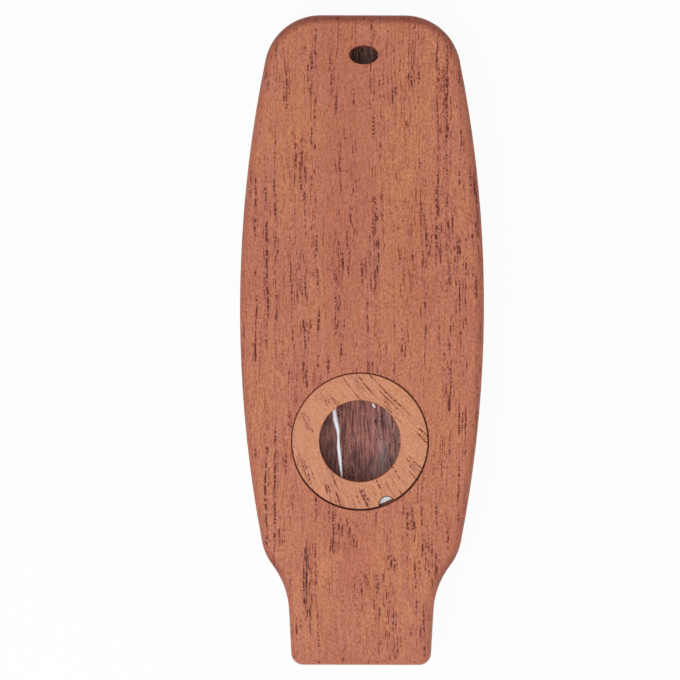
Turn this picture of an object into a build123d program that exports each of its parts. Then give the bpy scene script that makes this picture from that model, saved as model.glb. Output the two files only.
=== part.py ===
from build123d import *
import math
import os

# A flat wooden kazoo: three boards glued round an air chamber, a clear film over a round window in the
# face, and the flat ring that holds the film down. It lies on its back. X is across, Y runs from the
# mouth end (-Y) to the wide end (+Y), and Z is up, out of the face. The origin is under the middle of the
# body, on the surface that it lies on. Lengths are millimetres.

# Outline of the body, as widths at distances from the mouth end
BODY_LENGTH = 120.0
BODY_WIDTH = 45.1
WIDEST_FROM_MOUTH = 66.3
MOUTH_WIDTH = 25.6
NECK_WIDTH = 27.2
NECK_LENGTH = 14.7
SHOULDER_WIDTH = 35.8
SHOULDER_FROM_MOUTH = 20.35
TOP_WIDTH = 32.2

# Roundings of the outline. The neck's and the shoulder's take shares of the slope between them
MOUTH_CORNER_RADIUS = 2.2
TOP_CORNER_RADIUS = 10.4
NECK_ROUND_SHARE = 0.65
SHOULDER_ROUND_SHARE = 0.33

# The three boards
BACK_THICKNESS = 3.5
CORE_THICKNESS = 6.0
FRONT_THICKNESS = 3.5
EDGE_RADIUS = 2.2
EDGE_BREAK = 0.1

# The air way inside the core frame
RIM_WIDTH = 5.0
MOUTH_SLOT_WIDTH = 15.0

# The sound outlet in the front board
OUTLET_WIDTH = 5.3
OUTLET_HEIGHT = 3.4
OUTLET_FROM_TOP = 7.5
OUTLET_OFF_CENTRE = 0.2

# The film and the ring that holds it over the window
RING_OUTER_DIAMETER = 25.0
RING_BAND_WIDTH = 5.0
RING_THICKNESS = 2.0
RING_CLEARANCE = 0.2
RING_SINK = 0.1
RING_FROM_MOUTH = 41.3
RING_OFF_CENTRE = -0.3
RING_SHIFT = 0.09
RING_SHIFT_DIRECTION_DEG = 125.0
FILM_THICKNESS = 0.05
FILM_EDGE_GAP = 0.3
SEAT_WIDTH = 4.0

# The fingernail notch in the ring's outer edge
NOTCH_RADIUS = 1.55
NOTCH_OUTSIDE_RING = 0.2
NOTCH_DIRECTION_DEG = -66.6

# How far a cutting shape runs past what it cuts, and the most of a wall that a rounding may take
OVERRUN = 1.0
ROUNDED_SHARE = 0.9

MOUTH_Y = -BODY_LENGTH / 2
TOP_Y = BODY_LENGTH / 2
CORE_Z = BACK_THICKNESS
FRONT_Z = CORE_Z + CORE_THICKNESS
FACE_Z = FRONT_Z + FRONT_THICKNESS
RING_Y = MOUTH_Y + RING_FROM_MOUTH
RING_RADIUS = RING_OUTER_DIAMETER / 2
RING_HOLE_RADIUS = RING_RADIUS - RING_BAND_WIDTH
RECESS_RADIUS = RING_RADIUS + RING_CLEARANCE
FILM_RADIUS = RECESS_RADIUS - FILM_EDGE_GAP
WINDOW_RADIUS = RECESS_RADIUS - SEAT_WIDTH
RING_Z = FACE_Z - RING_SINK - RING_THICKNESS
FILM_Z = RING_Z - FILM_THICKNESS
STANDING = (Align.CENTER, Align.CENTER, Align.MIN)


def corner_radius(way_in, way_out, tangent_length):
    """Radius of the rounding that starts this far from the corner between two directions."""
    half_turn = math.radians(way_in.get_angle(way_out)) / 2
    return tangent_length / math.tan(half_turn)


def body_outline():
    """The body seen from the front: a narrow mouth, sloping shoulders, bulging sides and a rounded top."""
    mouth = Vector(MOUTH_WIDTH / 2, MOUTH_Y)
    neck = Vector(NECK_WIDTH / 2, MOUTH_Y + NECK_LENGTH)
    shoulder = Vector(SHOULDER_WIDTH / 2, MOUTH_Y + SHOULDER_FROM_MOUTH)
    widest = Vector(BODY_WIDTH / 2, MOUTH_Y + WIDEST_FROM_MOUTH)
    top = Vector(TOP_WIDTH / 2, TOP_Y)
    side = ThreePointArc(shoulder, widest, top)
    right_half = Curve() + [
        Line((0, MOUTH_Y), mouth),
        Line(mouth, neck),
        Line(neck, shoulder),
        side,
        Line(top, (0, TOP_Y)),
    ]
    face = make_face(right_half + mirror(right_half, about=Plane.YZ))

    slope = shoulder - neck
    neck_radius = corner_radius(neck - mouth, slope, NECK_ROUND_SHARE * slope.length)
    shoulder_radius = corner_radius(slope, side % 0, SHOULDER_ROUND_SHARE * slope.length)
    for corner, radius in [
        (mouth, MOUTH_CORNER_RADIUS),
        (neck, neck_radius),
        (shoulder, shoulder_radius),
        (top, TOP_CORNER_RADIUS),
    ]:
        left_corner = Vector(-corner.X, corner.Y)
        nearest = [face.vertices().sort_by_distance(place)[0] for place in (corner, left_corner)]
        face = fillet(nearest, radius)
    return face


def board(bottom_z, thickness):
    """A plain board of the body's outline."""
    return Pos(0, 0, bottom_z) * extrude(body_outline(), thickness)


def round_over(plain_board, face_index, thickness):
    """Round the outer edge of a board's lowest (0) or highest (-1) face."""
    outer_edge = plain_board.faces().sort_by(Axis.Z)[face_index].outer_wire().edges()
    most = ROUNDED_SHARE * min(thickness, MOUTH_CORNER_RADIUS)
    return fillet(outer_edge, min(EDGE_RADIUS, most))


def make_back_board():
    """The plain board that closes the air chamber behind."""
    return round_over(board(0, BACK_THICKNESS), 0, BACK_THICKNESS)


def make_core_frame():
    """The U-shaped rim between the boards: its inside is the air chamber, its open end the mouth slot."""
    chamber = extrude(offset(body_outline(), -RIM_WIDTH, kind=Kind.INTERSECTION), CORE_THICKNESS)
    slot_align = (Align.CENTER, Align.MIN, Align.MIN)
    slot = Box(MOUTH_SLOT_WIDTH, RIM_WIDTH + 2 * OVERRUN, CORE_THICKNESS, align=slot_align)
    air_way = chamber + Pos(0, MOUTH_Y - OVERRUN, 0) * slot
    return board(CORE_Z, CORE_THICKNESS) - Pos(0, 0, CORE_Z) * air_way


def make_front_board():
    """The face board: the stepped window where film and ring sit, and the oval sound outlet."""
    through = FRONT_THICKNESS + 2 * OVERRUN
    recess = Cylinder(RECESS_RADIUS, FACE_Z - FILM_Z + OVERRUN, align=STANDING)
    window = Cylinder(WINDOW_RADIUS, through, align=STANDING)
    outlet = extrude(Ellipse(OUTLET_WIDTH / 2, OUTLET_HEIGHT / 2), through)
    face_board = round_over(board(FRONT_Z, FRONT_THICKNESS), -1, FRONT_THICKNESS)
    face_board -= Pos(RING_OFF_CENTRE, RING_Y, FILM_Z) * recess
    face_board -= Pos(RING_OFF_CENTRE, RING_Y, FRONT_Z - OVERRUN) * window
    face_board -= Pos(OUTLET_OFF_CENTRE, TOP_Y - OUTLET_FROM_TOP, FRONT_Z - OVERRUN) * outlet
    face = face_board.faces().sort_by(Axis.Z)[-1]
    hole_edges = [edge for wire in face.inner_wires() for edge in wire.edges()]
    return chamfer(hole_edges, EDGE_BREAK)


def make_membrane():
    """The clear plastic disc that buzzes. It lies on the seat round the window."""
    return Pos(RING_OFF_CENTRE, RING_Y, FILM_Z) * Cylinder(FILM_RADIUS, FILM_THICKNESS, align=STANDING)


def make_retaining_ring():
    """The flat wooden ring over the film, with a notch to lift it out by. It lies a little to one side."""
    disc = Cylinder(RING_RADIUS, RING_THICKNESS, align=STANDING)
    hole = Cylinder(RING_HOLE_RADIUS, RING_THICKNESS, align=STANDING)
    notch = Cylinder(NOTCH_RADIUS, RING_THICKNESS, align=STANDING)
    notch_place = Rot(0, 0, NOTCH_DIRECTION_DEG) * Pos(RING_RADIUS + NOTCH_OUTSIDE_RING, 0, 0)
    ring = disc - hole - notch_place * notch
    ring = chamfer(ring.faces().sort_by(Axis.Z)[-1].edges(), EDGE_BREAK)
    shift = Vector(RING_SHIFT, 0, 0).rotate(Axis.Z, RING_SHIFT_DIRECTION_DEG)
    return Pos(RING_OFF_CENTRE + shift.X, RING_Y + shift.Y, RING_Z) * ring


def main():
    pieces = {
        "back_board": make_back_board(),
        "core_frame": make_core_frame(),
        "front_board": make_front_board(),
        "membrane": make_membrane(),
        "retaining_ring": make_retaining_ring(),
    }
    os.makedirs("parts", exist_ok=True)
    for name, piece in pieces.items():
        export_step(piece, f"parts/{name}.step")
        size = piece.bounding_box().size
        print(f"{name}: {size.X:.2f} x {size.Y:.2f} x {size.Z:.2f} mm, {piece.volume:.1f} mm3")


main()
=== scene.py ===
# %% [markdown]
# # A flat wooden kazoo
#
# The part is a pocket kazoo: three sapele boards glued round an air chamber, a clear film that buzzes over
# a round window, and a flat wooden ring that holds the film down. The wooden pieces were made to size as
# solids and packed as a fixed frame. This lesson loads that frame, gives every board the look of lacquered
# sapele, and models the one limp piece, the film, which a rigid solid can only stand in for.
#
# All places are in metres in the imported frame: X runs across, Y from the mouth end to the wide end, and Z
# up out of the face.

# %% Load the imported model
import math

import bmesh
import bpy
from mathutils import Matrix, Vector


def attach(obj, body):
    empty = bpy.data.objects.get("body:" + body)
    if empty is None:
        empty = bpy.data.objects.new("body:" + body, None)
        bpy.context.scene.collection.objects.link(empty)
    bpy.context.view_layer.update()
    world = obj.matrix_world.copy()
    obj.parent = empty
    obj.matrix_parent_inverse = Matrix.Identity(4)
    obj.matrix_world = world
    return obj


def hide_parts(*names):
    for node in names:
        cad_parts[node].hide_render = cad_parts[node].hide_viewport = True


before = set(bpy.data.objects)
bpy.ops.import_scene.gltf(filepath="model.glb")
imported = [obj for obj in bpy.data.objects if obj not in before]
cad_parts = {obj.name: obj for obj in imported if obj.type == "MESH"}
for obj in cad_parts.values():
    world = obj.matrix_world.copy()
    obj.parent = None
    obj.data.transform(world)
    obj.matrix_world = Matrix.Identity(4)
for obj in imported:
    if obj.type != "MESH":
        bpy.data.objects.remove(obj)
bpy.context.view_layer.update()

MM = 0.001
print("nodes:", sorted(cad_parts))

# %% [markdown]
# ## The camera
#
# The kazoo lies on its back and is seen straight from above, a little to the right of the picture's middle.
# A long lens keeps the sides of the body out of sight, as a product photo does. How far away the camera
# stands follows from the lens and from how much of the table the square picture takes in.

# %% Camera
PICTURE_SIDE = 125.7 * MM
PICTURE_MIDDLE_X = -4.05 * MM
PICTURE_ROLL_DEG = 0.14
OUTLINE_HEIGHT = 10.8 * MM
LENS_MM = 150.0
SENSOR_MM = 36.0

camera_data = bpy.data.cameras.new("overhead_camera")
camera_data.lens = LENS_MM
camera_data.sensor_width = SENSOR_MM
camera = bpy.data.objects.new("overhead_camera", camera_data)
camera.location = (PICTURE_MIDDLE_X, 0.0, OUTLINE_HEIGHT + PICTURE_SIDE * LENS_MM / SENSOR_MM)
camera.rotation_euler.z = math.radians(PICTURE_ROLL_DEG)
bpy.context.scene.collection.objects.link(camera)
bpy.context.scene.camera = camera
bpy.context.scene.view_settings.view_transform = "Standard"
print(f"camera {camera.location.z:.3f} m above the table")

# %% [markdown]
# ## Three helpers for materials
#
# Colours are written as the sRGB hex values that a colour picker shows, and the renderer works in linear
# light, so one function turns the one into the other. Another adds a shader node, sets it up and links it,
# and hands back its output, so that a material reads as a list of steps. The third is the step that comes
# most often: it turns a range of values into a rise from 0 to 1.


# %% Colour and node helpers
def linear(hex_colour):
    """An sRGB hex colour such as B6705A as linear red, green, blue and alpha."""
    shares = [int(hex_colour[start:start + 2], 16) / 255 for start in (0, 2, 4)]
    return *[s / 12.92 if s <= 0.04045 else ((s + 0.055) / 1.055) ** 2.4 for s in shares], 1.0


def add_node(tree, kind, inputs=(), **settings):
    """Add a shader node and give its first output. Inputs are values or sockets, by name or in order."""
    node = tree.nodes.new("ShaderNode" + kind)
    for setting, value in settings.items():
        setattr(node, setting, value)
    sockets = [socket for socket in node.inputs if socket.enabled]
    pairs = inputs.items() if isinstance(inputs, dict) else enumerate(inputs)
    for key, value in pairs:
        socket = sockets[key] if isinstance(key, int) else next(s for s in sockets if s.name == key)
        if isinstance(value, bpy.types.NodeSocket):
            tree.links.new(value, socket)
        else:
            socket.default_value = value
    return next((socket for socket in node.outputs if socket.enabled), None)


def ramp(tree, value, start, end, smooth=False):
    """A rise from 0, where the value is at its start, to 1 at its end: straight, or smoothed at both ends."""
    limits = {"Value": value, "From Min": start, "From Max": end}
    return add_node(tree, "MapRange", limits, interpolation_type="SMOOTHSTEP" if smooth else "LINEAR")


print("sapele face in linear light:", [round(share, 3) for share in linear("B6705A")])

# %% [markdown]
# ## Studio light
#
# The real picture was lit softly from the lower left: the rounded edges at the top and on the right are
# darker, and nothing glares. Even light from all round gives a little more than half of the level, and one
# large square lamp gives the rest. A level white card under a world of strength 1 renders as 1, so the
# lamp's power is worked out from the share of that level which it has to give, and a colour renders about as
# it is written. The sum is the one for a small lamp. The outer parts of a large one are further off, so its
# share is set a little higher.

# %% World and key lamp
SKY_SHARE = 0.58
KEY_SHARE = 0.49
KEY_PLACE = Vector((-0.25, -0.34, 0.68))
KEY_SIDE = 0.80

world = bpy.data.worlds.new("studio")
world.use_nodes = True
world.node_tree.nodes.clear()
bpy.context.scene.world = world


def seen_share(tree):
    """1 for a ray from the camera, off a glossy surface or through a clear one, 0 for a lighting ray."""
    path = add_node(tree, "LightPath").node.outputs
    direct = add_node(tree, "Math", [path["Is Camera Ray"], path["Is Glossy Ray"]], operation="MAXIMUM")
    return add_node(tree, "Math", [direct, path["Is Transmission Ray"]], operation="MAXIMUM")


seen = seen_share(world.node_tree)
strength = add_node(world.node_tree, "MapRange", {"Value": seen, "To Min": SKY_SHARE, "To Max": 1.0})
sky = add_node(world.node_tree, "Background", {"Color": linear("FFFFFF"), "Strength": strength})
add_node(world.node_tree, "OutputWorld", {"Surface": sky})

lamp_data = bpy.data.lights.new("softbox", "AREA")
lamp_data.shape = "SQUARE"
lamp_data.size = KEY_SIDE
lamp_slope = KEY_PLACE.z / KEY_PLACE.length
lamp_data.energy = KEY_SHARE * math.pi ** 2 * KEY_PLACE.length_squared / lamp_slope
lamp = bpy.data.objects.new("softbox", lamp_data)
lamp.location = KEY_PLACE
lamp.rotation_euler = (-KEY_PLACE).to_track_quat("-Z", "Y").to_euler()
bpy.context.scene.collection.objects.link(lamp)
print(f"softbox {lamp_data.energy:.2f} W at {KEY_PLACE.length:.2f} m")

# %% [markdown]
# ## The white table
#
# The kazoo lies on plain white. A white board under this light would render a little grey, so for the eye
# most of its white comes from a surface that glows at strength 1, and the rest is an ordinary white board,
# which keeps the soft shadow of the body.

# %% Table
TABLE_SIDE = 4.0
GLOW_SHARE = 0.94

table_mesh = bmesh.new()
bmesh.ops.create_grid(table_mesh, x_segments=1, y_segments=1, size=TABLE_SIDE / 2)
table_data = bpy.data.meshes.new("table")
table_mesh.to_mesh(table_data)
table_mesh.free()
table = bpy.data.objects.new("table", table_data)
bpy.context.scene.collection.objects.link(table)

table_paint = bpy.data.materials.new("matt_white_board")
table_paint.use_nodes = True
tree = table_paint.node_tree
tree.nodes.clear()
glow = add_node(tree, "Math", [seen_share(tree), GLOW_SHARE], operation="MULTIPLY")
board_white = add_node(tree, "BsdfDiffuse", {"Color": linear("F4F4F4")})
eye_white = add_node(tree, "Emission", {"Color": linear("FFFFFF"), "Strength": 1.0})
add_node(tree, "OutputMaterial", {"Surface": add_node(tree, "MixShader", [glow, board_white, eye_white])})
table_data.materials.append(table_paint)
print("table of", TABLE_SIDE, "m")

# %% [markdown]
# ## Sapele, step by step
#
# Sapele is a reddish-brown hardwood. Its colour comes from a fine mottle of orange and pink fibres, and its
# character from the vessels: long tubes along the grain that the plane cuts open, so that they show as
# strings of dark dashes. An image of wood would have to be wrapped round each board. A solid pattern that
# fills space needs no wrapping: the face, the rounded edge and the end grain all cut through the same
# tubes, as they do in a real plank.
#
# The first step is a space in millimetres whose Y runs along the grain. Grain is never quite straight, so a
# slow noise pushes it sideways.


# %% Grain space
# Each row is how long a swing of the grain is, and how far it swings in all, in millimetres
GRAIN_SWINGS_MM = [(34.0, 2.2), (7.0, 0.5), (1.8, 0.3)]


def grain_space(tree, centre_mm, turn_deg, fan_per_mm):
    """Object coordinates in millimetres round a centre, turned along the grain, fanned out and wandering."""
    at = add_node(tree, "TexCoord").node.outputs["Object"]
    centre = [value * MM for value in centre_mm]
    turn = (0.0, 0.0, math.radians(turn_deg))
    mapping = {"Vector": at, "Location": centre, "Rotation": turn, "Scale": (MM, MM, MM)}
    straight = add_node(tree, "Mapping", mapping, vector_type="TEXTURE")
    parts = add_node(tree, "SeparateXYZ", [straight]).node.outputs
    shrink = add_node(tree, "Math", [parts["Y"], -fan_per_mm, 1.0], operation="MULTIPLY_ADD")
    across = add_node(tree, "Math", [parts["X"], shrink], operation="MULTIPLY")
    fanned = add_node(tree, "CombineXYZ", [across, parts["Y"], parts["Z"]])
    space = fanned
    for length_mm, push_mm in GRAIN_SWINGS_MM:
        drift = add_node(tree, "TexNoise", {"Vector": fanned, "Scale": 1 / length_mm, "Detail": 0.0})
        push = drift.node.outputs["Color"]
        centred = add_node(tree, "VectorMath", [push, (0.5, 0.5, 0.5)], operation="SUBTRACT")
        reach = (push_mm, 0.0, push_mm)
        space = add_node(tree, "VectorMath", [centred, reach, space], operation="MULTIPLY_ADD")
    return space, straight


def streaks(tree, grain, width_mm, length_mm, detail=0.0):
    """Noise from 0 to 1 with patches about this wide across the grain and this long along it."""
    squeeze = (1 / width_mm, 1 / length_mm, 1 / width_mm)
    squeezed = add_node(tree, "VectorMath", [grain, squeeze], operation="MULTIPLY")
    return add_node(tree, "TexNoise", {"Vector": squeezed, "Scale": 1.0, "Detail": detail})


print("grain wanders by up to", sum(push for _, push in GRAIN_SWINGS_MM) / 2, "mm")

# %% [markdown]
# The vessels come next. They are tubes along the grain, so a flat cell pattern in the cross-section, with
# one tube in each cell, is the same all along the board. The grain dips in and out of the face, and where
# a tube comes up through the surface the plane has cut a long slot. Gum and cross walls close it here and
# there, so a noise that is different in each tube breaks the slot into dashes. Where the wood is crowded
# every tube is filled with dark gum and its dashes are a little longer, and elsewhere only a few are filled.
# There are two kinds: bold ones, which look nearly black, and fine ones, which look red-brown.


# %% Vessels
# The dip is how far the grain rises and falls, over its width and length. Dashes come two beads apart
VESSEL_KINDS_MM = {
    "bold": {
        "pitch": 0.58, "thin": 0.12, "thick": 0.26, "bead": 0.36,
        "dip": 2.4, "dip_width": 1.6, "dip_length": 6.5,
    },
    "fine": {
        "pitch": 0.40, "thin": 0.08, "thick": 0.16, "bead": 0.32,
        "dip": 2.0, "dip_width": 1.2, "dip_length": 4.5,
    },
}
HARD_CORE_SHARE = 0.55
STAIN_SHARE = 2.4
CLOSED_SHARE = 0.10
FILL_SPREAD_SHARE = 0.1
DASH_SEED_SPREAD = 173.0
BEADS_PER_STRING = 7.0
STRING_SHARE = 0.42
CROWDED_DASH_SHARE = 0.04
# The noise level where a dash begins, and where it is at its full width
DASH_RANGE = (0.455, 0.525)


def vessels(tree, grain, crowding, size):
    """Dashes where vessels lie open, the stain beside them, and how black the gum in each vessel is."""
    parts = add_node(tree, "SeparateXYZ", [grain]).node.outputs
    dip = streaks(tree, grain, size["dip_width"], size["dip_length"], 1.0)
    depth = add_node(tree, "Math", [dip, size["dip"], parts["Z"]], operation="MULTIPLY_ADD")
    section = add_node(tree, "CombineXYZ", [parts["X"], depth, 0.0])
    cells = {"Vector": section, "Scale": 1 / size["pitch"], "Randomness": 1.0}
    off_axis = add_node(tree, "TexVoronoi", cells, voronoi_dimensions="2D")
    chance = add_node(tree, "SeparateColor", [off_axis.node.outputs["Color"]]).node.outputs

    radii = {"To Min": size["thin"] / size["pitch"], "To Max": size["thick"] / size["pitch"]}
    radius = add_node(tree, "MapRange", {"Value": chance["Green"], **radii})
    core = add_node(tree, "Math", [radius, HARD_CORE_SHARE], operation="MULTIPLY")
    wide = add_node(tree, "Math", [radius, STAIN_SHARE], operation="MULTIPLY")
    slots, stain = [ramp(tree, off_axis, edge, core, smooth=True) for edge in (radius, wide)]
    spare = add_node(tree, "Math", [crowding, chance["Blue"]], operation="SUBTRACT")
    spread = {"From Min": -FILL_SPREAD_SHARE, "From Max": FILL_SPREAD_SHARE, "To Min": CLOSED_SHARE}
    filled = add_node(tree, "MapRange", {"Value": spare, **spread})
    slots, stain = [add_node(tree, "Math", [part, filled], operation="MULTIPLY") for part in (slots, stain)]

    along = add_node(tree, "Math", [parts["Y"], 1 / size["bead"]], operation="MULTIPLY")
    seed = add_node(tree, "Math", [chance["Red"], DASH_SEED_SPREAD], operation="MULTIPLY")
    in_vessel = add_node(tree, "CombineXYZ", [along, seed, 0.0])
    beads = {"Vector": in_vessel, "Scale": 1.0}
    strings = {"Detail": 1.0, "Roughness": STRING_SHARE, "Lacunarity": 1 / BEADS_PER_STRING}
    breaks = add_node(tree, "TexNoise", {**beads, **strings}, noise_dimensions="2D")
    joined = add_node(tree, "Math", [crowding, CROWDED_DASH_SHARE, breaks], operation="MULTIPLY_ADD")
    dashes = ramp(tree, joined, *DASH_RANGE, smooth=True)
    dashed = add_node(tree, "Math", [slots, dashes], operation="MULTIPLY")
    return dashed, stain, chance["Green"]


for kind, size in VESSEL_KINDS_MM.items():
    print(kind, "dashes up to", 2 * size["thick"], "mm wide, one in about", 2 * size["bead"], "mm")

# %% [markdown]
# On the real face the strings of dashes gather in a few bands: one down the left side, one down the right,
# and shorter ones between. The ground colour has bands too: a red ribbon down the middle and an orange one
# beside it. Each band is a long soft ellipse with its place, so that a loop can lay them over the slow
# noise that varies the rest of the wood.

# %% Bands on the face
# Each row is the middle across, the lower and upper end along the body, and half the width, in millimetres
CROWDED_BANDS_MM = [
    (-14.1, 40.0, 57.0, 1.6),
    (-11.6, 23.0, 42.0, 2.9),
    (15.6, 33.0, 53.0, 1.5),
    (8.2, 37.0, 49.0, 1.1),
    (2.1, 3.0, 29.0, 1.2),
    (11.6, 9.5, 29.0, 1.6),
    (16.6, 8.0, 30.0, 2.3),
    (-11.7, 2.0, 22.0, 2.2),
    (-10.4, -13.0, 9.0, 1.6),
    (16.0, -16.0, 3.0, 1.5),
    (-14.0, -27.0, -16.0, 1.0),
    (-6.4, -8.0, -1.0, 0.9),
    (-9.7, -58.0, -32.0, 1.5),
    (12.1, -46.0, -31.0, 1.2),
    (9.9, -58.0, -34.0, 1.0),
    (5.5, 41.0, 52.0, 1.2),
    (-9.2, 36.0, 57.0, 1.4),
    (-4.3, 28.0, 37.0, 1.0),
    (20.4, 8.0, 37.0, 1.3),
    (-19.3, -14.0, 11.0, 1.5),
    (-4.2, -4.0, 10.0, 1.1),
    (8.0, -5.0, 4.0, 1.4),
    (-3.3, -41.0, -31.0, 1.3),
    (13.4, -47.0, -37.0, 1.2),
    (11.2, -60.0, -48.0, 1.2),
    (4.6, -60.0, -52.0, 1.0),
    (0.1, 9.0, 17.0, 1.0),
    (-19.5, 15.0, 30.0, 1.2),
    (-12.8, 10.0, 29.0, 1.5),
    (9.4, -40.0, -31.0, 1.2),
    (-15.0, -40.0, -31.0, 1.2),
    (-5.0, -41.0, -30.0, 0.7),
    (-1.6, -39.0, -32.0, 1.6),
    (-0.2, -51.0, -41.5, 2.3),
    (5.6, -43.5, -38.5, 1.8),
    (15.9, -39.0, -31.0, 0.8),
    (5.5, -55.5, -47.5, 1.8),
    (-11.7, -55.5, -50.5, 1.0),
    (-3.0, -60.0, -55.5, 1.0),
]
LONG_VESSELS_MM = [(-10.1, -50.8, -34.5, 0.33), (-9.4, -55.2, -46.3, 0.25)]
RED_BANDS_MM = [(-3.0, -8.0, 62.0, 7.0), (-4.5, 34.0, 72.0, 5.5), (-1.0, -52.0, -30.0, 5.0)]
ORANGE_BANDS_MM = [(8.0, -10.0, 60.0, 5.5), (4.0, -60.0, -32.0, 5.0), (-8.0, -60.0, -30.0, 4.0)]
# A band rises from nothing to full between these shares of its half width
BAND_RISE_SHARES = (1.1, 0.3)
# The ring's bands are in its own grain space, whose Y leans to the left
RING_BANDS_MM = [
    (5.8, 4.2, 12.2, 1.3),
    (-1.3, 7.4, 13.4, 1.3),
    (-6.1, 6.0, 11.2, 1.1),
    (8.6, 0.2, 6.4, 1.2),
    (10.2, -8.3, -3.6, 1.3),
    (5.3, -13.4, -6.8, 1.5),
    (-9.6, -7.8, -2.5, 1.2),
    (-5.4, -12.3, -5.7, 1.6),
    (-11.2, -1.8, 5.0, 1.2),
]


def lay_bands(tree, field, straight, bands_mm):
    """Raise a field to 1 along soft bands."""
    for middle, low, high, half_width in bands_mm:
        half_length = (high - low) / 2
        squeeze = (1 / half_width, 1 / half_length, 0.0)
        shift = (-middle / half_width, -(low + high) / 2 / half_length, 0.0)
        place = add_node(tree, "VectorMath", [straight, squeeze, shift], operation="MULTIPLY_ADD")
        away = add_node(tree, "VectorMath", [place], operation="LENGTH").node.outputs["Value"]
        band = ramp(tree, away, *BAND_RISE_SHARES, smooth=True)
        field = add_node(tree, "Math", [field, band], operation="MAXIMUM")
    return field


print(len(CROWDED_BANDS_MM), "crowded bands on the face,", len(RING_BANDS_MM), "on the ring")

# %% [markdown]
# With those parts a board can be painted, from large to small. The ground comes first: broad redder and
# more orange patches, small pink blushes, fine fibres and short flecks. Each is a noise that covers the
# colour before it where it is strong. The ring is cut from paler wood, so it has colours of its own.


# %% Ground colour
PATCH_WIDTH_MM = 8.0
PATCH_LENGTH_MM = 26.0
BLUSH_WIDTH_MM = 1.1
BLUSH_LENGTH_MM = 2.4
FIBRE_WIDTH_MM = 0.22
FIBRE_LENGTH_MM = 4.0
FLECK_WIDTH_MM = 0.27
FLECK_LENGTH_MM = 0.55
# The noise levels where each tint begins and where it is full
RED_RANGE = (0.50, 0.75)
ORANGE_RANGE = (0.50, 0.25)
BLUSH_RANGE = (0.45, 0.65)
FIBRE_RANGE = (0.40, 0.75)
FLECK_RANGE = (0.40, 0.75)
# The most that each tint covers
RED_SHARE = 0.42
ORANGE_SHARE = 0.55
BLUSH_SHARE = 0.45
FIBRE_SHARE = 0.40
FLECK_SHARE = 0.70

BODY_COLOURS = {"ground": "CE8462", "orange": "D68A5A", "red": "BA664C", "pink": "C47868", "deep": "904430"}
RING_COLOURS = {"ground": "DA9874", "orange": "D89466", "red": "CE8864", "pink": "D6967C", "deep": "B46E4C"}


def tint(tree, amount, colour, other, share=1.0):
    """Mix another colour in where the amount is 1, at most by this share."""
    part = add_node(tree, "Math", [amount, share], operation="MULTIPLY")
    return add_node(tree, "Mix", {"Factor": part, "A": colour, "B": other}, data_type="RGBA")


def ground_colour(tree, grain, straight, colours, red_bands, orange_bands):
    """The colour of the wood between its vessels, and where its flecks are."""
    patches = streaks(tree, grain, PATCH_WIDTH_MM, PATCH_LENGTH_MM, 1.0)
    redder = lay_bands(tree, ramp(tree, patches, *RED_RANGE), straight, red_bands)
    warmer = lay_bands(tree, ramp(tree, patches, *ORANGE_RANGE), straight, orange_bands)
    pinker = ramp(tree, streaks(tree, grain, BLUSH_WIDTH_MM, BLUSH_LENGTH_MM, 1.0), *BLUSH_RANGE)
    combed = ramp(tree, streaks(tree, grain, FIBRE_WIDTH_MM, FIBRE_LENGTH_MM, 1.0), *FIBRE_RANGE)
    flecked = ramp(tree, streaks(tree, grain, FLECK_WIDTH_MM, FLECK_LENGTH_MM, 1.0), *FLECK_RANGE)
    shades = {name: linear(hex_colour) for name, hex_colour in colours.items()}
    colour = tint(tree, warmer, shades["ground"], shades["orange"], ORANGE_SHARE)
    colour = tint(tree, redder, colour, shades["red"], RED_SHARE)
    colour = tint(tree, pinker, colour, shades["pink"], BLUSH_SHARE)
    colour = tint(tree, combed, colour, shades["deep"], FIBRE_SHARE)
    colour = tint(tree, flecked, colour, shades["deep"], FLECK_SHARE)
    return colour, flecked


print("body and ring grounds:", BODY_COLOURS["ground"], RING_COLOURS["ground"])

# %% [markdown]
# Over the ground come the purplish stain beside the vessels and the dark vessels themselves, some with brown
# gum in them and some nearly black. Two long vessels near the mouth were torn open by the plane, so they are
# drawn as bands of their own with ragged sides.


# %% Vessel colours
TEAR_WIDTH_MM = 0.3
TEAR_LENGTH_MM = 1.1
TEAR_RANGE = (0.40, 0.54)
LEAST_TEAR_SHARE = 0.35
# The most that each mark covers
STAIN_COVER_SHARE = 0.28
FINE_COVER_SHARE = 0.90
GUM_COVER_SHARE = 0.86
TEAR_COVER_SHARE = 0.90


def lay_vessels(tree, grain, colour, crowding, sizes_mm):
    """Draw both kinds of vessel on a colour. Gives the colour, the bold dashes and their gum's colour."""
    fine, _, _ = vessels(tree, grain, crowding, sizes_mm["fine"])
    bold, stain, blackness = vessels(tree, grain, crowding, sizes_mm["bold"])
    colour = tint(tree, stain, colour, linear("8E4A4E"), STAIN_COVER_SHARE)
    colour = tint(tree, fine, colour, linear("7C2812"), FINE_COVER_SHARE)
    gum = tint(tree, blackness, linear("6E1C00"), linear("4A0C12"))
    return tint(tree, bold, colour, gum, GUM_COVER_SHARE), bold, gum


def lay_torn_vessels(tree, grain, straight, colour, long_vessels):
    """Draw long open vessels with ragged sides on a colour."""
    torn = streaks(tree, grain, TEAR_WIDTH_MM, TEAR_LENGTH_MM, 2.0)
    limits = {"From Min": TEAR_RANGE[0], "From Max": TEAR_RANGE[1], "To Min": LEAST_TEAR_SHARE}
    whole = add_node(tree, "MapRange", {"Value": torn, **limits})
    slots = lay_bands(tree, 0.0, straight, long_vessels)
    ragged = add_node(tree, "Math", [slots, whole], operation="MULTIPLY")
    return tint(tree, ragged, colour, linear("2E1416"), TEAR_COVER_SHARE)


print(len(LONG_VESSELS_MM), "torn vessels")

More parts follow.
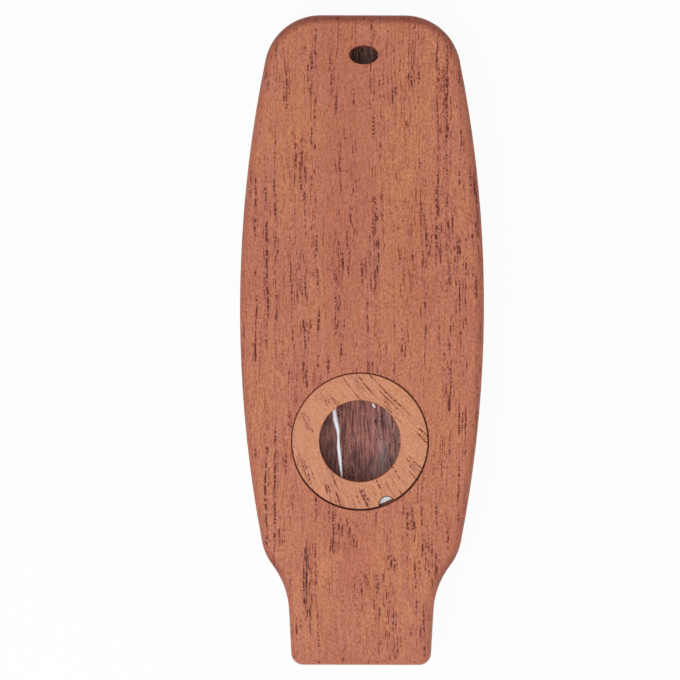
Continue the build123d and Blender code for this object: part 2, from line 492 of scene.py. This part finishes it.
# %% [markdown]
# Where a board is rounded over, and most where it is cut across its grain, it is painted darker: partly the
# open ends soaking up finish and partly painted shade on the rounded edges, with less of both at the mouth
# end.
# Thin lines of glue show between the boards. The faces that look into the chamber were never sanded or
# lacquered, so their streaks stand out. Towards the far end, which is seen down the outlet, they are painted
# paler, as painted light in that deep hole. Some lacquer ran into the mouth slot, so the raw wood only begins
# behind it.


# %% Edges and chamber
# The edge darkening is partly end-grain soak and partly painted shade on the rounded edges, least at the
# mouth end
SIDE_SOAK_AND_SHADE_SHARE = 0.26
SOAK_AND_SHADE_RANGE = (0.05, 0.50)
MOUTH_SOAK_AND_SHADE_SHARE = 0.10
FULL_SOAK_AND_SHADE_SHARE = 0.62
MOUTH_END_Y = -59.0 * MM
MOUTH_FADE = 18.0 * MM
CHAMBER_MIDDLE_Z = 6.5 * MM
CHAMBER_HEIGHT = 6.0 * MM
GLUE_LINE = 0.12 * MM
GLUE_SHARE = 0.7
RAW_EDGE = 0.05 * MM
RAW_WIDTH_MM = 0.38
RAW_LENGTH_MM = 4.0
RAW_RANGE = (0.38, 0.66)
RAW_FLECK_SHARE = 0.5
RAW_GUM_SHARE = 0.9
# Painted light: from here towards the far end, seen down the outlet, the raw wood is painted paler
PAINTED_LIGHT_FROM_Y = 10.0 * MM
PAINTED_LIGHT_FADE = 36.0 * MM


def soak_and_shade_edges(tree, colour, facing, from_mouth):
    """Darken a colour where the board curves away, most across the grain and least at the mouth end:
    end-grain soak and painted shade.
    """
    sideways = add_node(tree, "VectorMath", [facing, (SIDE_SOAK_AND_SHADE_SHARE, 1.0, 0.0)], operation="MULTIPLY")
    cut_across = add_node(tree, "VectorMath", [sideways], operation="LENGTH").node.outputs["Value"]
    soaked_and_shaded = ramp(tree, cut_across, *SOAK_AND_SHADE_RANGE)
    most = {"Value": from_mouth, "To Min": MOUTH_SOAK_AND_SHADE_SHARE, "To Max": FULL_SOAK_AND_SHADE_SHARE}
    darker = add_node(tree, "Math", [soaked_and_shaded, add_node(tree, "MapRange", most)], operation="MULTIPLY")
    # Painted shade and end-grain soak: the edge colour goes towards dark brown
    return tint(tree, darker, colour, linear("762A24"))


def raw_wood(tree, grain, along, flecked, bold, gum):
    """The colour of the wood inside the chamber, painted paler towards the far end as painted light."""
    dark_streaks = ramp(tree, streaks(tree, grain, RAW_WIDTH_MM, RAW_LENGTH_MM, 2.0), *RAW_RANGE)
    # Painted light in the deep outlet hole: the light and dark streak colours turn paler towards the far end
    painted_light = ramp(tree, along, PAINTED_LIGHT_FROM_Y, PAINTED_LIGHT_FROM_Y + PAINTED_LIGHT_FADE)
    light = tint(tree, painted_light, linear("DE8E7A"), linear("FCD2C2"))
    dark = tint(tree, painted_light, linear("661A1A"), linear("A8685C"))
    colour = tint(tree, dark_streaks, light, dark)
    colour = tint(tree, flecked, colour, linear("782422"), RAW_FLECK_SHARE)
    return tint(tree, bold, colour, gum, RAW_GUM_SHARE)


def seams_and_chamber(tree, at, facing, height):
    """1 on the glue lines outside, and 1 on the faces that look into the chamber."""
    from_middle = add_node(tree, "VectorMath", [at, (0.0, 0.0, CHAMBER_MIDDLE_Z)], operation="SUBTRACT")
    outwards = add_node(tree, "VectorMath", [from_middle, facing], operation="DOT_PRODUCT")
    faces_in = add_node(tree, "Math", [outwards.node.outputs["Value"], 0.0], operation="LESS_THAN")
    from_level = add_node(tree, "Math", [height, CHAMBER_MIDDLE_Z], operation="SUBTRACT")
    rise = add_node(tree, "Math", [from_level], operation="ABSOLUTE")
    seam = add_node(tree, "Math", [rise, CHAMBER_HEIGHT / 2, GLUE_LINE / 2], operation="COMPARE")
    seam_outside = add_node(tree, "Math", [seam, faces_in], operation="SUBTRACT")
    level = add_node(tree, "Math", [rise, CHAMBER_HEIGHT / 2 + RAW_EDGE], operation="LESS_THAN")
    return seam_outside, add_node(tree, "Math", [faces_in, level], operation="MULTIPLY")


print("glue lines at", [(CHAMBER_MIDDLE_Z + side * CHAMBER_HEIGHT / 2) / MM for side in (-1, 1)], "mm")

# %% [markdown]
# Now the steps come together in one material. Satin lacquer gives it a soft sheen, and the vessels stay a
# little hollow and dull under it. Each board is cut from its own place in the log, so no two look alike. The
# face lies where its bands are, and the ring's grain is turned and fans out. Its vessels run flatter, so its
# strings are longer.


# %% Sapele material
CROWD_WIDTH_MM = 4.0
CROWD_LENGTH_MM = 30.0
CROWD_RISE = 0.45
VESSEL_DEPTH = 0.05 * MM
SATIN_ROUGHNESS = 0.5
VESSEL_ROUGHNESS = 0.75
LACQUER_IOR = 1.5
LACQUER_SHINE_SHARE = 0.3


def sapele(name, centre_mm, colours=BODY_COLOURS, turn_deg=0.0, fan_per_mm=0.0, bands=((), (), (), ()),
           crowd_from=0.36, vessel_share=1.0, dip_share=1.0):
    """Satin-lacquered sapele: mottled red-brown fibres and strings of dark open vessels."""
    material = bpy.data.materials.new(name)
    material.use_nodes = True
    tree = material.node_tree
    tree.nodes.clear()
    grain, straight = grain_space(tree, centre_mm, turn_deg, fan_per_mm)
    crowded_bands, red_bands, orange_bands, long_vessels = bands
    colour, flecked = ground_colour(tree, grain, straight, colours, red_bands, orange_bands)

    slow = streaks(tree, grain, CROWD_WIDTH_MM, CROWD_LENGTH_MM, 1.0)
    crowding = ramp(tree, slow, crowd_from, crowd_from + CROWD_RISE)
    crowding = lay_bands(tree, crowding, straight, crowded_bands)
    sizes_mm = {
        kind: {part: size * vessel_share for part, size in parts.items()} | {"dip": parts["dip"] * dip_share}
        for kind, parts in VESSEL_KINDS_MM.items()
    }
    colour, bold, gum = lay_vessels(tree, grain, colour, crowding, sizes_mm)
    colour = lay_torn_vessels(tree, grain, straight, colour, long_vessels)

    at = add_node(tree, "TexCoord").node.outputs["Object"]
    facing = add_node(tree, "TexCoord").node.outputs["Normal"]
    place = add_node(tree, "SeparateXYZ", [at]).node.outputs
    from_mouth = ramp(tree, place["Y"], MOUTH_END_Y, MOUTH_END_Y + MOUTH_FADE)
    # Painted shade on the rounded edges, with end-grain soak, lighter at the mouth end
    colour = soak_and_shade_edges(tree, colour, facing, from_mouth)
    seam_outside, inside = seams_and_chamber(tree, at, facing, place["Z"])
    colour = tint(tree, seam_outside, colour, linear("4E2216"), GLUE_SHARE)
    raw_inside = add_node(tree, "Math", [inside, from_mouth], operation="MULTIPLY")
    colour = tint(tree, raw_inside, colour, raw_wood(tree, grain, place["Y"], flecked, bold, gum))

    dullness = {"Value": bold, "To Min": SATIN_ROUGHNESS, "To Max": VESSEL_ROUGHNESS}
    hollow = add_node(tree, "Math", [bold, -1.0], operation="MULTIPLY")
    surface = {
        "Base Color": colour,
        "Roughness": add_node(tree, "MapRange", dullness),
        "IOR": LACQUER_IOR,
        "Specular IOR Level": LACQUER_SHINE_SHARE,
        "Normal": add_node(tree, "Bump", {"Height": hollow, "Distance": VESSEL_DEPTH, "Strength": 1.0}),
    }
    add_node(tree, "OutputMaterial", {"Surface": add_node(tree, "BsdfPrincipled", surface)})
    return material


RING_CENTRE_MM = (-0.3, -18.7, 0.0)
FACE_BANDS = (CROWDED_BANDS_MM, RED_BANDS_MM, ORANGE_BANDS_MM, LONG_VESSELS_MM)
finishes = {
    "front_board": sapele("lacquered_sapele_face", (0, 0, 101), bands=FACE_BANDS, crowd_from=0.38),
    "core_frame": sapele("lacquered_sapele_core", (61, 17, 40)),
    "back_board": sapele("lacquered_sapele_back", (-83, 31, 90)),
    "retaining_ring": sapele("lacquered_sapele_ring", RING_CENTRE_MM, RING_COLOURS, turn_deg=34,
                             fan_per_mm=-0.025, bands=(RING_BANDS_MM, (), (), ()), crowd_from=0.42,
                             vessel_share=0.8, dip_share=0.35),
}
for node, material in finishes.items():
    bpy.data.objects[node].material_slots[0].material = material
    print(node, "is", material.name, "with", len(material.node_tree.nodes), "shader nodes")

# %% [markdown]
# ## The film
#
# The film is a disc cut from thin clear plastic, laid on the seat round the window. The ring clamps its
# edge flat. Inside the ring's hole it is slack: a fold runs down its left side, painted white as a painted
# highlight with some whitening of the bent plastic, and its edge is turned up a little in the ring's notch,
# where it is painted white. A disc is a line spun about an axis, with enough rings and spokes for the fold,
# and each point is then lifted by how far it is from the fold.

# %% Film disc
FILM_RADIUS_MM = 12.4
FILM_RINGS = 96
FILM_SPOKES = 288
FILM_MIDDLE_Z_MM = 10.875
FILM_THICKNESS = 0.03 * MM

disc = bmesh.new()
hub = bmesh.ops.create_vert(disc, co=(0, 0, 0))["vert"][0]
rim = bmesh.ops.create_vert(disc, co=(FILM_RADIUS_MM, 0, 0))["vert"][0]
spoke = disc.edges.new((hub, rim))
bmesh.ops.subdivide_edges(disc, edges=[spoke], cuts=FILM_RINGS - 1)
bmesh.ops.spin(disc, geom=disc.verts[:] + disc.edges[:], cent=(0, 0, 0), axis=(0, 0, 1),
               angle=math.tau, steps=FILM_SPOKES, use_merge=True)
bmesh.ops.remove_doubles(disc, verts=disc.verts[:], dist=0.001)
bmesh.ops.recalc_face_normals(disc, faces=disc.faces[:])
print("film disc:", len(disc.verts), "points,", len(disc.faces), "faces")

# %% [markdown]
# The fold is a line of a few points with a width at each. Near it the film rises to a soft ridge, and the
# same closeness tells the material where to paint the fold white: a painted highlight, partly whitened
# plastic. Beside it the slack makes shallow waves.
# The bend at the notch is the tightest, so the mesh is made finer there, and the turned-up edge stays clear
# of the ring.

# %% Fold, slack and turned-up edge
# Each row is a place on a fold from the ring's centre, and the fold's half width there, in millimetres
FOLDS_MM = [
    [
        (-4.90, 6.20, 0.38), (-4.81, 5.76, 0.38), (-4.58, 3.94, 0.43), (-4.09, 2.12, 0.34),
        (-4.01, 1.00, 0.22), (-4.00, 0.30, 0.22), (-3.97, -0.99, 0.33), (-3.75, -2.88, 0.37),
        (-3.52, -5.16, 0.25), (-3.37, -6.60, 0.12),
    ],
    [(2.30, 6.85, 0.16), (2.62, 6.50, 0.22), (2.70, 6.30, 0.10)],
]
# The fold's white is a painted highlight, partly whitened plastic; the edge turned up in the notch is painted
# white
FOLD_HEIGHT_MM = 0.25
HIGHLIGHT_STEEPNESS = 2.2
SLACK_MM = 0.06
SLACK_RADIUS_MM = 7.3
SLACK_FADE_MM = 1.5
# Radians of wave per millimetre across the film, and how far and how fast the waves sway along it
WAVE_PER_MM = 1.3
SWAY = 0.5
SWAY_PER_MM = 0.6
RING_SHIFT_MM = Vector((-0.05, 0.07))
NOTCH_ANGLE = math.radians(-66.6)
NOTCH_FROM_CENTRE_MM = 12.7
NOTCH_MM = RING_SHIFT_MM + NOTCH_FROM_CENTRE_MM * Vector((math.cos(NOTCH_ANGLE), math.sin(NOTCH_ANGLE)))
NOTCH_REACH_MM = 1.48
NOTCH_FALL_MM = 0.06
NOTCH_LIFT_MM = 1.15
NOTCH_CUTS = 5
NOTCH_MARGIN_MM = 0.5
TURNED_UP_RADIUS_MM = 12.16
TURN_MM = 0.12
NOTCH_WHITE_SHARE = 0.8


def smooth_step(share):
    """0 below 0, 1 above 1, and a smooth rise between."""
    share = min(max(share, 0.0), 1.0)
    return share * share * (3 - 2 * share)


def fold_closeness(place):
    """1 on a fold's middle line, falling to 0 at its edge."""
    best = 0.0
    for line in FOLDS_MM:
        for (x0, y0, width0), (x1, y1, width1) in zip(line, line[1:]):
            start, run = Vector((x0, y0)), Vector((x1 - x0, y1 - y0))
            share = min(max((place - start).dot(run) / run.length_squared, 0.0), 1.0)
            width = width0 + (width1 - width0) * share
            best = max(best, 1 - (place - start - run * share).length / width)
    return best


near_notch = [
    edge for edge in disc.edges
    if all((end.co.xy - NOTCH_MM).length < NOTCH_REACH_MM + NOTCH_MARGIN_MM for end in edge.verts)
]
bmesh.ops.subdivide_edges(disc, edges=near_notch, cuts=NOTCH_CUTS, use_grid_fill=True)

whitened = []
for point in disc.verts:
    place = Vector((point.co.x, point.co.y))
    free = smooth_step((SLACK_RADIUS_MM - place.length) / SLACK_FADE_MM)
    fold = fold_closeness(place)
    slack = SLACK_MM * math.sin(place.x * WAVE_PER_MM + SWAY * math.sin(place.y * SWAY_PER_MM)) * free
    ridge = FOLD_HEIGHT_MM * smooth_step(fold) * free
    in_notch = smooth_step((NOTCH_REACH_MM - (place - NOTCH_MM).length) / NOTCH_FALL_MM)
    turned_up = in_notch * smooth_step((TURNED_UP_RADIUS_MM - place.length) / TURN_MM)
    point.co.z = FILM_MIDDLE_Z_MM + slack + ridge + NOTCH_LIFT_MM * turned_up
    # Painted highlight along the fold, partly whitened plastic, and painted white on the edge turned up in
    # the notch
    whitened.append(max(smooth_step(fold * HIGHLIGHT_STEEPNESS), NOTCH_WHITE_SHARE * turned_up))
bmesh.ops.translate(disc, verts=disc.verts[:], vec=RING_CENTRE_MM)
bmesh.ops.scale(disc, verts=disc.verts[:], vec=(MM, MM, MM))

film_data = bpy.data.meshes.new("buzzing_film")
disc.to_mesh(film_data)
disc.free()
film_data.shade_smooth()
film_data.attributes.new("whitened", "FLOAT", "POINT").data.foreach_set("value", whitened)
film = bpy.data.objects.new("buzzing_film", film_data)
bpy.context.scene.collection.objects.link(film)
wall = film.modifiers.new("wall", "SOLIDIFY")
wall.thickness = FILM_THICKNESS
wall.offset = 0.0
print("whitened points:", sum(share > 0.5 for share in whitened))

# %% [markdown]
# Clear plastic film is nearly invisible from the front. A painted reflection turns it whiter the flatter it
# is seen, a thin even haze of painted light and a veil of whitish streaks on the right lie over it, and where
# it is folded or turned up in the notch it is painted white. So how much it hides is the most of those three.
# Light still reaches the floor of the chamber through it.

# %% Film material
VEIL_WIDTH_MM = 0.8
VEIL_LENGTH_MM = 7.0
VEIL_SHARE = 0.04
PAINTED_LIGHT_HAZE_SHARE = 0.012
SHINE_BLEND = 0.08
# The noise level where the streaks begin and where they are full, and the same across the film in millimetres
STREAK_RANGE = (0.40, 0.65)
STREAKY_SIDE_MM = (0.5, 3.5)
FILM_ROUGHNESS = 0.18
FILM_IOR = 1.58

clear = bpy.data.materials.new("clear_polyester_film")
clear.use_nodes = True
tree = clear.node_tree
tree.nodes.clear()
grain, straight = grain_space(tree, RING_CENTRE_MM, 0, 0)
veil_streaks = streaks(tree, grain, VEIL_WIDTH_MM, VEIL_LENGTH_MM, 1.0)
streaky = ramp(tree, veil_streaks, *STREAK_RANGE)
across = add_node(tree, "SeparateXYZ", [straight]).node.outputs["X"]
on_right = ramp(tree, across, *STREAKY_SIDE_MM, smooth=True)
streaks_there = add_node(tree, "Math", [streaky, on_right], operation="MULTIPLY")
# The whitish streaks on the right, over an even haze of painted light
veil_and_light_haze = add_node(tree, "Math", [streaks_there, VEIL_SHARE, PAINTED_LIGHT_HAZE_SHARE], operation="MULTIPLY_ADD")
# Painted reflection: the film turns whiter the flatter it is seen
glancing_painted_reflection = add_node(tree, "LayerWeight", {"Blend": SHINE_BLEND}).node.outputs["Facing"]
hides = add_node(tree, "Math", [veil_and_light_haze, glancing_painted_reflection], operation="MAXIMUM")
# The painted highlight on the fold and the white on the edge in the notch
highlight_and_notch_white = add_node(tree, "Attribute", attribute_name="whitened").node.outputs["Fac"]
hides = add_node(tree, "Math", [hides, highlight_and_notch_white], operation="MAXIMUM")
# The pale colour shows where the film hides: painted reflection, haze of painted light, streaks and the
# painted white
look = {"Base Color": linear("F2F4FA"), "Roughness": FILM_ROUGHNESS, "IOR": FILM_IOR, "Alpha": hides}
add_node(tree, "OutputMaterial", {"Surface": add_node(tree, "BsdfPrincipled", look)})
film_data.materials.append(clear)

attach(film, "film")
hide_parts("membrane")
